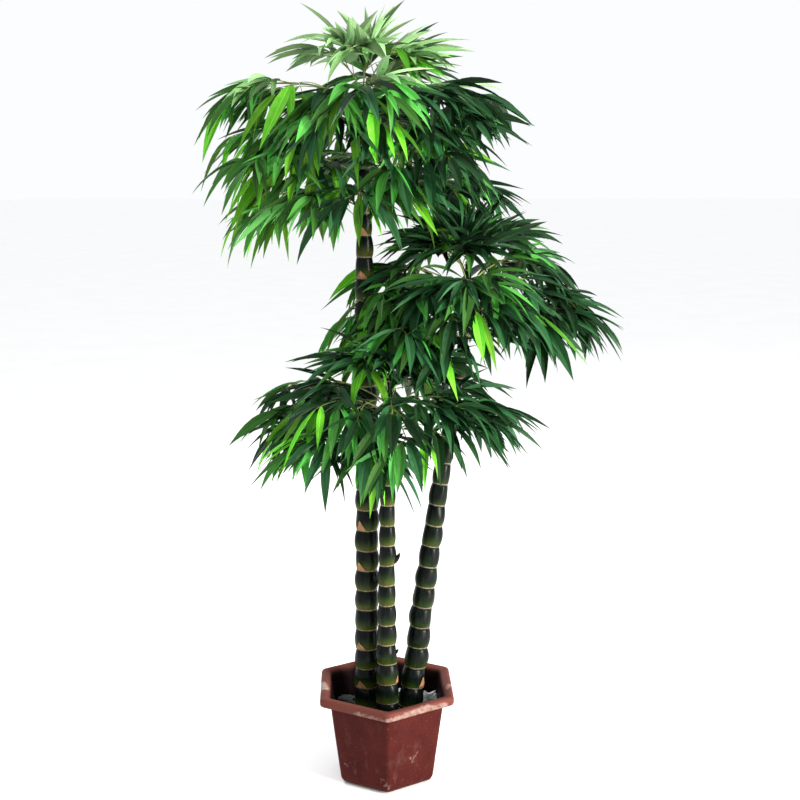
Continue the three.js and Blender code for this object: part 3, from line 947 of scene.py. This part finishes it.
# Wear on the pot, and two painted highlights on the top of the rim at its left and right ends: each rub runs
# from one place to another and has a half width and a strength.
RUBS_AND_HIGHLIGHTS = [
    # Painted highlight at the rim's left end.
    ((-153, -4, 219), (-147, -26, 219), 16, 0.95),
    ((34, -160, 210), (92, -126, 215), 10, 0.64),
    ((92, -126, 213), (134, -102, 211), 8, 0.56),
    ((0, -172, 208), (34, -160, 210), 9, 0.6),
    ((-70, -137, 209), (0, -172, 207), 8, 0.5),
    # Painted highlight at the rim's right end.
    ((148, -22, 224), (143, -36, 224), 7, 0.7),
    ((58, -102, 74), (80, -88, 108), 3, 0.42),
    ((52, -104, 84), (60, -99, 70), 3, 0.4),
    ((-96, -72, 54), (-72, -84, 60), 8, 0.3),
    ((-14, -122, 34), (2, -126, 20), 9, 0.3),
    ((-90, 124, 212), (-30, 158, 210), 8, 0.65),
    ((120, 96, 208), (150, 60, 210), 8, 0.6),
    ((-112, 20, 120), (-104, 44, 90), 4, 0.5),
]
# How dusty the pot is, how much painted highlight lightens the top of its rim, and how much painted shade
# darkens its inside, between two heights.
DUST = [28.5, 161.5], [1, 0.3]
RIM_HIGHLIGHT = [198, 206], [0, 0.34]
INNER_SHADE = [214.45, 223], [0.95, 0]


def wall_flat(height):
    return lerp(POT["foot_flat"], POT["shoulder_flat"], height / (POT["height"] - POT["rim_depth"]))


def hexagon(flat, rounding, height):
    """A hexagon with rounded corners, one of them to the front."""
    reach = (flat - rounding) / math.cos(math.pi / 6)
    turns = np.linspace(-30, 30, CORNER_STEPS + 1)
    corners = range(-90, 270, 60)
    arcs = [reach * direction(corner, 0) + rounding * direction(corner + turns, 0) for corner in corners]
    ring = []
    for arc, following in zip(arcs, arcs[1:] + arcs[:1]):
        ring.extend(arc)
        ring.extend(lerp(arc[-1], following[0], i / FACE_STEPS) for i in range(1, FACE_STEPS))
    return np.array(ring) + [0, 0, height]


def rounded(profile):
    """A profile with its corners cut again and again, so that they turn round."""
    profile = np.array(profile, float)
    for _ in range(ROUNDS):
        a, b = profile[:-1], profile[1:]
        cut = np.stack([lerp(a, b, 0.25), lerp(a, b, 0.75)], axis=1).reshape(-1, 2)
        profile = np.concatenate([profile[:1], cut, profile[-1:]])
    return profile


def pot_profile():
    """The pot from its underside over the rim and down to its inner floor, as (flat, height)."""
    rim, high = POT["rim_flat"], POT["height"]
    under = high - POT["rim_depth"]
    edge = POT["foot_edge"]
    foot = [(wall_flat(0) - edge, 0), (wall_flat(0) - edge * 0.25, edge * 0.3), (wall_flat(edge), edge)]
    wall = [(wall_flat(z), z) for z in (*WALL_HEIGHTS, under - 1)]
    lip = [(rim + out, high + up) for out, up in LIP]
    bore = [(wall_flat(z) - POT["wall"], z) for z in BORE_HEIGHTS]
    shoulder = wall_flat(under) - POT["wall"]
    inside = [(shoulder + 3.5, high - 6), (shoulder, under - 3)]
    return rounded([*foot, *wall, (wall_flat(under) + 1, under), *lip, *inside, *bore])


def dress_pot(plastic):
    profile = pot_profile()
    rings = [hexagon(flat, POT["corner_radius"] * flat / POT["rim_flat"], z) for flat, z in profile]
    points = np.concatenate(rings)
    sides = len(rings[0])
    piece = new_piece("moulded_pot", points, tube_faces(len(rings), sides), [plastic])
    wear = np.zeros(len(points))
    for start, end, half, strength in RUBS_AND_HIGHLIGHTS:
        start, run = np.array(start), np.subtract(end, start)
        share = np.clip((points - start) @ run / (run @ run), 0, 1)
        apart = np.linalg.norm(points - start - share[:, None] * run, axis=1)
        wear = np.maximum(wear, strength * np.clip(1.3 - (apart / half) ** 2, 0, 1))
    inner = np.arange(len(points)) // sides > np.argmax(profile[:, 1])
    give(piece, "wear", wear)
    give(piece, "dust", np.interp(points[:, 2], *DUST))
    # The top of the rim gets a painted highlight.
    give(piece, "bleach", np.interp(points[:, 2], *RIM_HIGHLIGHT))
    # The inside below the rim gets painted shade.
    give(piece, "stain", inner * np.interp(points[:, 2], *INNER_SHADE))
    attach(piece, "root")
    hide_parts("pot")


FILL_RINGS = 26
FILL_CORNER = 8.4
# The height whose wall the foot of the filling follows, how deep its top lies, how rough it is, how wide its
# ripples are, and how much of them is left at the wall.
FILL_FOOT = 8
FILL_SUNK = 3
FILL_ROUGH = 5.5
RIPPLE_SPAN = 34
WALL_RIPPLE = 0.35


def dress_filling(plaster):
    """The rough top of the filling over a plain plug."""

    def plug(wall_height, z):
        return hexagon(wall_flat(wall_height) - POT["wall"] - SEAT_GAP, FILL_CORNER, z)

    rings = [plug(FILL_FOOT, POT["floor"] + SEAT_GAP)]
    for i in range(FILL_RINGS):
        share = 1 - i / FILL_RINGS
        ring = plug(FILL_TOP, 0) * share
        for point in ring:
            ripple = noise.fractal(Vector((*point[:2] / RIPPLE_SPAN, 2.7)), 0.9, 2.1, 5)
            point[2] = FILL_TOP - FILL_SUNK + FILL_ROUGH * ripple * min(1, 3 * (1 - share) + WALL_RIPPLE)
        rings.append(ring)
    piece = new_piece("poured_filling", np.concatenate(rings), tube_faces(len(rings), len(ring)), [plaster])
    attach(piece, "root")
    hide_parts("pot_filling")


LUMP_RINGS = 7
LUMP_SIDES = 10


def lump(centre, size, seed, roughness):
    """A rough stone or scrap: a ball pushed about by noise."""
    points = []
    for i in range(LUMP_RINGS):
        for k in range(LUMP_SIDES):
            out = direction(360 * k / LUMP_SIDES, 180 * (i + 0.35) / (LUMP_RINGS - 0.3) - 90)
            push = 1 + roughness * noise.noise(Vector(out) * 1.7 + Vector((seed, seed * 0.7, 0)))
            points.append(centre + out * size * push)
    return points


def strew(name, material, lumps, roughness):
    points, faces = [], []
    for i, (centre, size) in enumerate(lumps):
        faces.extend(tube_faces(LUMP_RINGS, LUMP_SIDES, len(points)))
        points.extend(lump(centre, size, i * 3.1, roughness))
    piece = new_piece(name, points, faces, [material], smooth=False)
    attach(piece, "root")
    return piece


# Scraps of foam by the pot's wall: where each lies, its half sizes and how much darker it is made.
FOAM_SCRAPS = [
    ((98, 54), (24, 14, 17), 0),
    ((118, 46), (12, 12, 18), 0),
    ((80, 62), (12, 10, 9), 0.1),
    ((-94, 72), (24, 11, 4), 0.85),
    ((-60, -64), (16, 8, 4), 0.8),
    ((-30, 84), (22, 12, 5), 0.5),
    ((40, 92), (17, 10, 6), 0.2),
]
FOAM_ROUGHNESS = 1.3
# Gravel is dealt over a square, and kept inside a circle and off the culms.
GRAVEL = {
    "seed": 31, "count": 110, "square": 112, "circle": 104, "room": 2,
    "sizes": (4, 9), "narrowness": (0.7, 1), "flatness": 0.6, "lift": (-1, 2), "roughness": 0.5,
}


def strew_filling(gravel, foam):
    random = seeded(GRAVEL["seed"])
    side = GRAVEL["square"]
    feet = [(culm_middle(culm, FILL_TOP)[:2], culm["girth"][0][1] + GRAVEL["room"]) for culm in CULMS]
    stones = []
    while len(stones) < GRAVEL["count"]:
        x, y = random(-side, side), random(-side, side)
        size = random(*GRAVEL["sizes"])
        if math.hypot(x, y) > GRAVEL["circle"] or any(math.dist((x, y), foot) < room for foot, room in feet):
            continue
        z = FILL_TOP + random(*GRAVEL["lift"])
        stones.append(((x, y, z), (size, size * random(*GRAVEL["narrowness"]), size * GRAVEL["flatness"])))
    strew("strewn_gravel", gravel, stones, GRAVEL["roughness"])
    scraps = [((x, y, FILL_TOP + 1), half) for (x, y), half, _ in FOAM_SCRAPS]
    piece = strew("foam_scraps", foam, scraps, FOAM_ROUGHNESS)
    grime = [grime for _, _, grime in FOAM_SCRAPS]
    give(piece, "grime", np.repeat(grime, LUMP_RINGS * LUMP_SIDES))


def dress_crown(culm, ribs, cloths, wire):
    """The limbs, twigs and leaves of one culm, which stand for its foliage solids."""
    wood_points, wood_faces, leaves = [], [], []

    def add_wood(points, gauge):
        radii = np.linspace(gauge["root"], gauge["tip"], len(points))
        wood_faces.extend(tube_faces(len(points), gauge["sides"], len(wood_points)))
        wood_points.extend(tube_points(points, radii, gauge["sides"]))

    for rib in ribs:
        random = rib["random"]
        limbs = [(rib, RIB, RIB_TWIGS), *((arm, ARM, ARM_TWIGS) for arm in rib["arms"])]
        for coarse, gauge, shares in limbs:
            course = [coarse[key] for key in ("start", "bearing", "rise", "fall", "length")]
            limb = limb_of(*course, gauge["steps"] * FINE_STEPS)
            add_wood(limb["points"], gauge)
            leaves.extend(fan_of(limb, rib, LIMB_FAN, random))
            for twig in twigs_of(limb, rib, shares, random):
                add_wood(twig["points"], TWIG)
                leaves.extend(fan_of(twig, rib, TWIG_FAN, random))
    leaves = [leaf for leaf in leaves if leaf_fits(leaf)]
    pieces = [new_piece(f"wire_twigs_{culm['name']}", wood_points, wood_faces, [wire])]
    for dye in sorted({leaf["dye"] for leaf in leaves}):
        chosen = [leaf for leaf in leaves if leaf["dye"] == dye]
        points, faces, places, each = leaf_mesh(chosen)
        piece = new_piece(f"cloth_leaves_{dye}_{culm['name']}", points, faces, [cloths[dye]])
        give(piece, "leaf_place", places, "FLOAT_VECTOR", "CORNER")
        give(piece, "leaf_tint", np.repeat([leaf["tint"] for leaf in chosen], each))
        sharpen_leaves(piece, each)
        pieces.append(piece)
    nodes = [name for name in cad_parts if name.startswith(f"foliage_{culm['name']}_")]
    for piece in pieces:
        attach(piece, "root")
        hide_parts(*nodes)


FLOOR_HALF = 40000
FLOOR_DROP = 1


def lay_floor(paper):
    corners = [(-1, -1, 0), (1, -1, 0), (1, 1, 0), (-1, 1, 0)]
    floor = new_piece("studio_floor", np.array(corners) * FLOOR_HALF, [(0, 1, 2, 3)], [paper])
    floor.location.z = -FLOOR_DROP * MM


def soft_light(name, place, target, size, power, shade):
    lamp = bpy.data.lights.new(name, "AREA")
    lamp.shape = "RECTANGLE"
    lamp.size, lamp.size_y = size
    lamp.energy = power
    lamp.color = linear(shade)[:3]
    carrier = bpy.data.objects.new(name, lamp)
    carrier.location = place
    carrier.rotation_euler = (Vector(target) - Vector(place)).to_track_quat("-Z", "Y").to_euler()
    bpy.context.scene.collection.objects.link(carrier)


def light_studio():
    world = bpy.data.worlds.new("pale_room")
    world.use_nodes = True
    background = world.node_tree.nodes["Background"]
    background.inputs["Color"].default_value = linear("#fcfdff")
    bpy.context.scene.world = world
    soft_light("key_softbox", (2.7, -2.0, 1.45), (0, 0, 0.9), (0.9, 2.4), 300, "#fffaf0")
    soft_light("rear_softbox", (-1.6, 2.8, 3), (0, 0, 1.1), (1.4, 1.4), 90, "#ffffff")
    bpy.context.scene.view_settings.view_transform = "Standard"


def place_camera():
    lens = bpy.data.cameras.new("camera")
    lens.lens = CAMERA_LENS
    lens.sensor_width = 36
    camera = bpy.data.objects.new("camera", lens)
    camera.location = CAMERA_PLACE
    camera.rotation_euler = (math.radians(90 - CAMERA_DOWN), 0, math.radians(-CAMERA_TURN))
    bpy.context.scene.collection.objects.link(camera)
    bpy.context.scene.camera = camera


place_camera()
light_studio()
lay_floor(studio_paper())

CLOTHS = {dye: printed_polyester(dye, *shades) for dye, shades in CLOTH_COLOURS.items()}
WIRE = sleeved_wire()
SKIN = lacquered_culm()
SCAR = scraped_node()

dress_pot(reground_polypropylene())
dress_filling(poured_plaster())
strew_filling(river_gravel(), broken_foam())
for culm in CULMS:
    dress_culm(culm, SKIN, SCAR)
dress_sheaths(sheath_paper())
dress_buds(SKIN)
RIBS = grow_branches()
for culm in CULMS:
    dress_crown(culm, [rib for rib in RIBS if rib["culm"] is culm], CLOTHS, WIRE)

bpy.context.view_layer.update()
